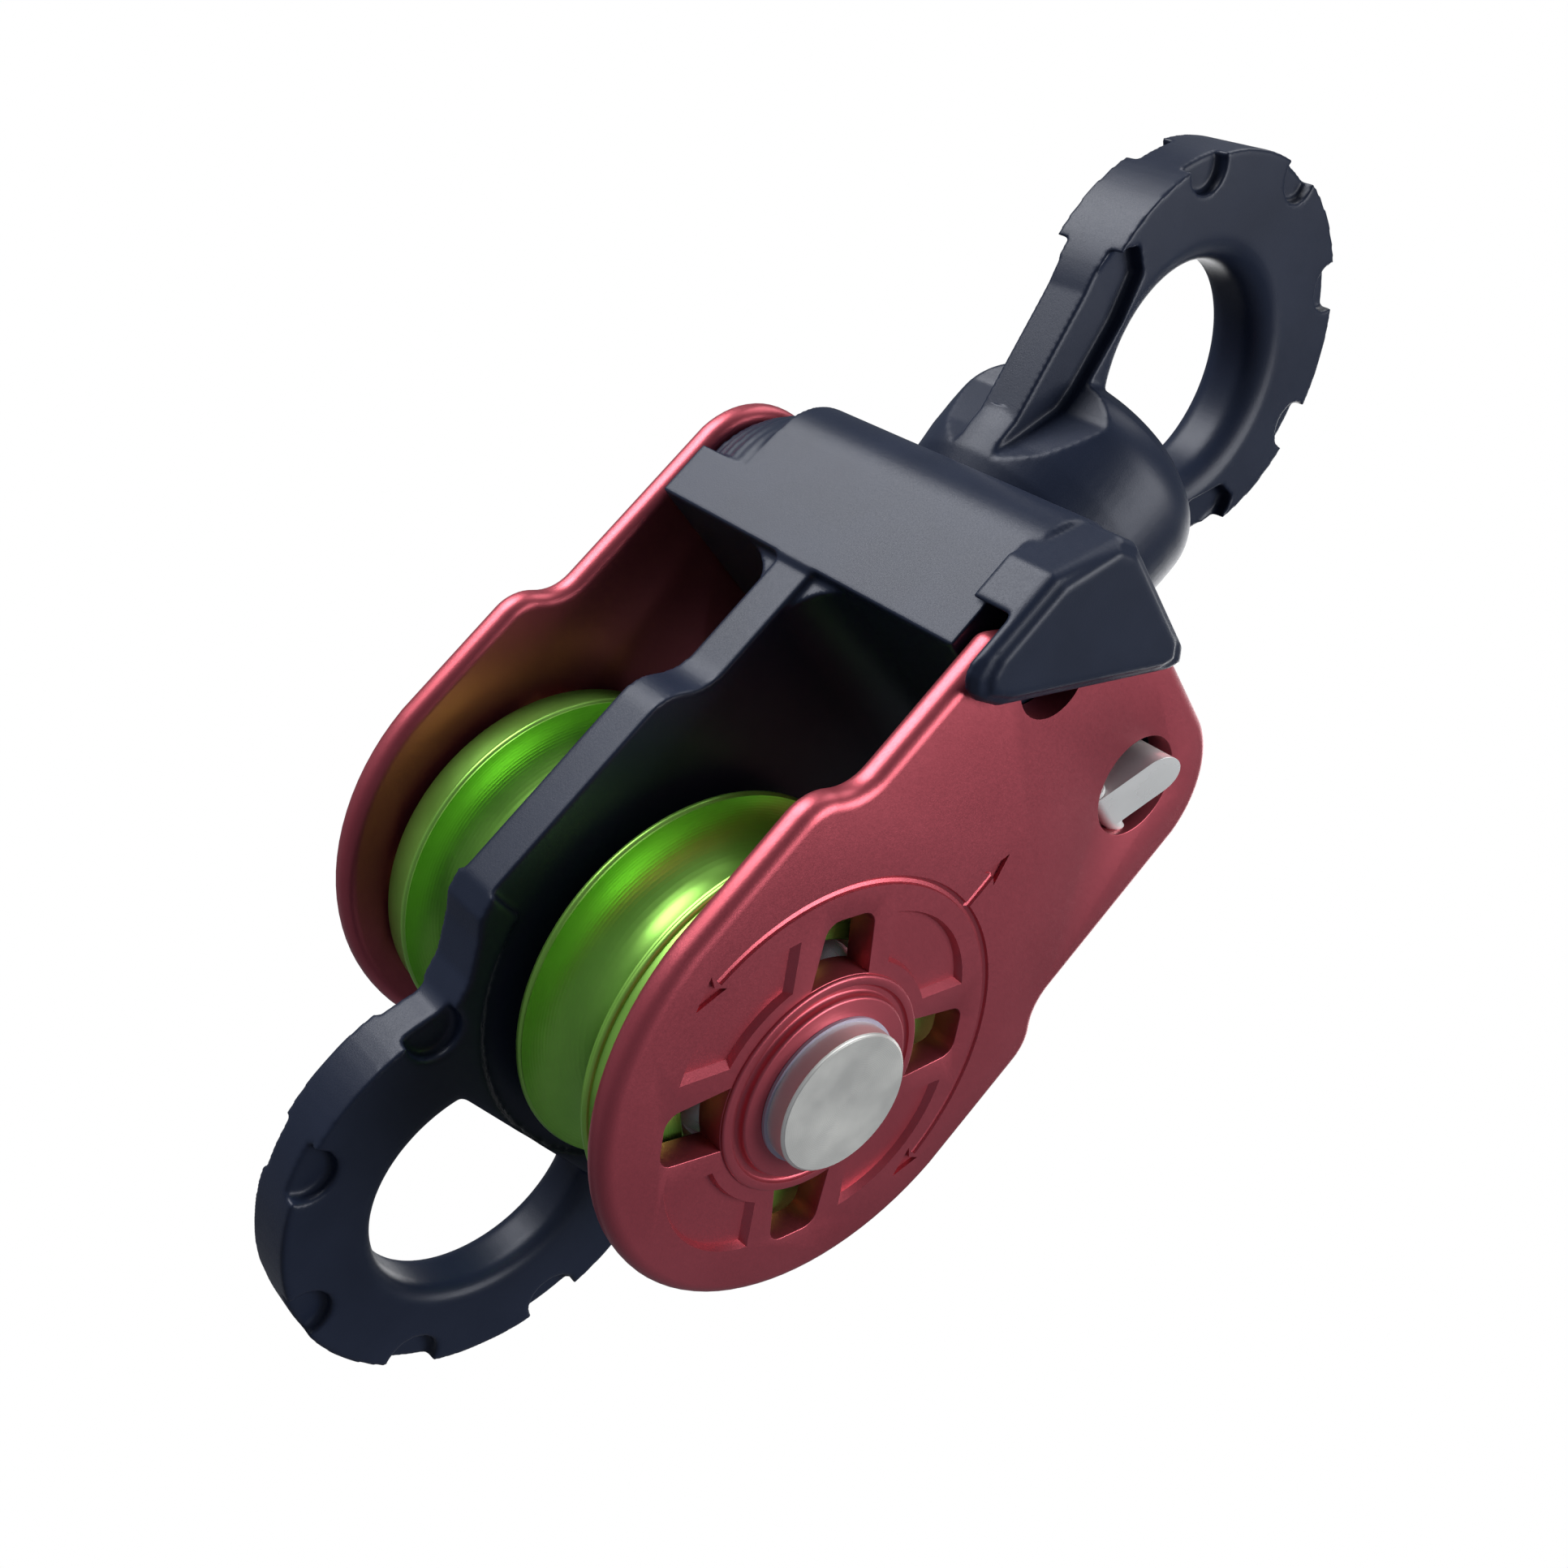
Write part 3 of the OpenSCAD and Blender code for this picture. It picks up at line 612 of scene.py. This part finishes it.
def makeFloor(s):
    deselectAll()
    bpy.ops.mesh.primitive_plane_add(size=s["floorSize"], location=(0, 0, s["floor"]))
    floor = bpy.context.active_object
    floor.name = "floor"
    material, tree, shader = newMaterial("paleFloor")
    shader.inputs["Base Color"].default_value = s["floorColour"]
    shader.inputs["Roughness"].default_value = 0.9
    whiteToCamera(tree, shader, tree.nodes.new("ShaderNodeEmission"), "OUTPUT_MATERIAL")
    floor.data.materials.append(material)


def makeWorld(s):
    world = bpy.data.worlds.new("studioWorld")
    bpy.context.scene.world = world
    world.use_nodes = True
    tree = world.node_tree
    sky = next(n for n in tree.nodes if n.type == "BACKGROUND")
    sky.inputs["Color"].default_value = s["skyColour"]
    sky.inputs["Strength"].default_value = s["sky"]
    whiteToCamera(tree, sky, tree.nodes.new("ShaderNodeBackground"), "OUTPUT_WORLD")


def softbox(name, place, size, energy):
    deselectAll()
    bpy.ops.object.light_add(type="AREA", location=place)
    light = bpy.context.active_object
    light.name = name
    light.data.shape = "RECTANGLE"
    light.data.size, light.data.size_y = size
    light.data.energy = energy
    toward = Vector(studio["aim"]) - Vector(place)
    light.rotation_euler = toward.to_track_quat("-Z", "Y").to_euler()


makeFloor(studio)
makeWorld(studio)
softbox("frontSoftbox", (-0.5, -0.74, 0.36), (0.7, 0.6), 12.5)
softbox("topSoftbox", (-0.1, -0.1, 0.9), (0.6, 0.5), 2.2)
softbox("sideSoftbox", (0.85, 0.15, 0.5), (0.6, 0.6), 8.5)
softbox("backSoftbox", (-0.3, 0.9, 0.4), (0.8, 0.6), 4.0)

cameraView = dict(
    place=(0.13918, -0.16239, -0.00037), right=(0.64163, 0.41746, 0.64346),
    up=(-0.41613, -0.51526, 0.74923), back=(0.64432, -0.74849, -0.15689),
    lens=37.578, shiftX=-0.02834, shiftY=-0.02109,
)


def makeCamera(s):
    data = bpy.data.cameras.new("camera")
    camera = bpy.data.objects.new("camera", data)
    bpy.context.scene.collection.objects.link(camera)
    turnTo = Matrix((s["right"], s["up"], s["back"])).transposed().to_4x4()
    camera.matrix_world = Matrix.Translation(s["place"]) @ turnTo
    data.sensor_width = 36
    data.lens = s["lens"]
    data.shift_x = s["shiftX"]
    data.shift_y = s["shiftY"]
    data.clip_start = 0.01
    bpy.context.scene.camera = camera


makeCamera(cameraView)
bpy.context.scene.view_settings.view_transform = "Standard"
print("studio ready")

deselectAll()
